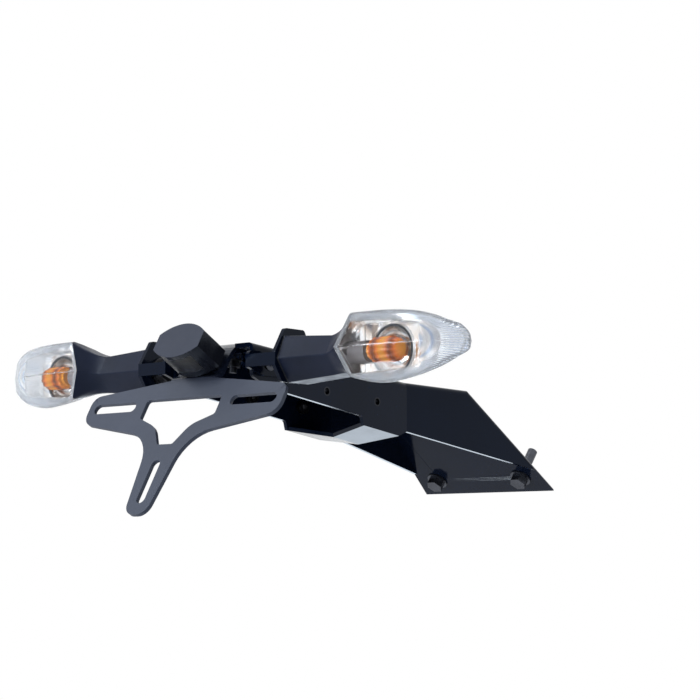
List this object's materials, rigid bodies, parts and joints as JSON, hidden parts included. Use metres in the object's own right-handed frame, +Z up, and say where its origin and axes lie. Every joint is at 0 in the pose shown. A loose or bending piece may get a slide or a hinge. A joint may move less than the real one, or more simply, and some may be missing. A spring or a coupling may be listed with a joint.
{
  "type": "tail tidy",
  "caption": "Folded sheet-metal channel that bolts up under a motorcycle's tail and carries a swan-necked Y-shaped number-plate bracket, a plate light and stalked indicators.",
  "frame": {"origin": "midway between the two mounting bolts, on the pad's upper face, which is clamped to the machine", "axes": "+X the machine's right, +Y its front, +Z up"},
  "size_m": [0.4442, 0.414, 0.1374],
  "materials": {
    "black_coat": "satin powder coat",
    "plate_coat": "satin powder coat",
    "black_plastic": "fine-grained moulding",
    "clear_plastic": "clear, ribbed inside",
    "circuit_board": "white solder mask",
    "zinc_steel": "zinc plated",
    "black_steel": "black oxide",
    "black_rubber": "matt",
    "chrome_plate": "bright vacuum plating",
    "holder_plastic": "moulded",
    "amber_glass": "amber coated bulb"
  },
  "bodies": {
    "root": {"main_bracket": "black_coat", "plate_bracket": "plate_coat", "left_indicator_bracket": "black_coat", "right_indicator_bracket": "black_coat", "light_housing": "black_plastic", "light_window": "clear_plastic", "led_board": "circuit_board", "light_bolts": "zinc_steel", "light_nuts": "zinc_steel", "tongue_bolts": "black_steel", "tongue_nuts": "zinc_steel", "side_bolts": "black_steel", "side_nuts": "zinc_steel", "clinch_nuts": "zinc_steel", "mount_bolts": "black_steel", "left_stalk_seal": "black_rubber", "left_stalk": "black_plastic", "left_stalk_nut": "zinc_steel", "left_reflector": "chrome_plate", "left_bulb_holder": "holder_plastic", "left_bulb": "amber_glass", "left_lens": "clear_plastic", "right_stalk_seal": "black_rubber", "right_stalk": "black_plastic", "right_stalk_nut": "zinc_steel", "right_reflector": "chrome_plate", "right_bulb_holder": "holder_plastic", "right_bulb": "amber_glass", "right_lens": "clear_plastic"}
  },
  "joints": []
}
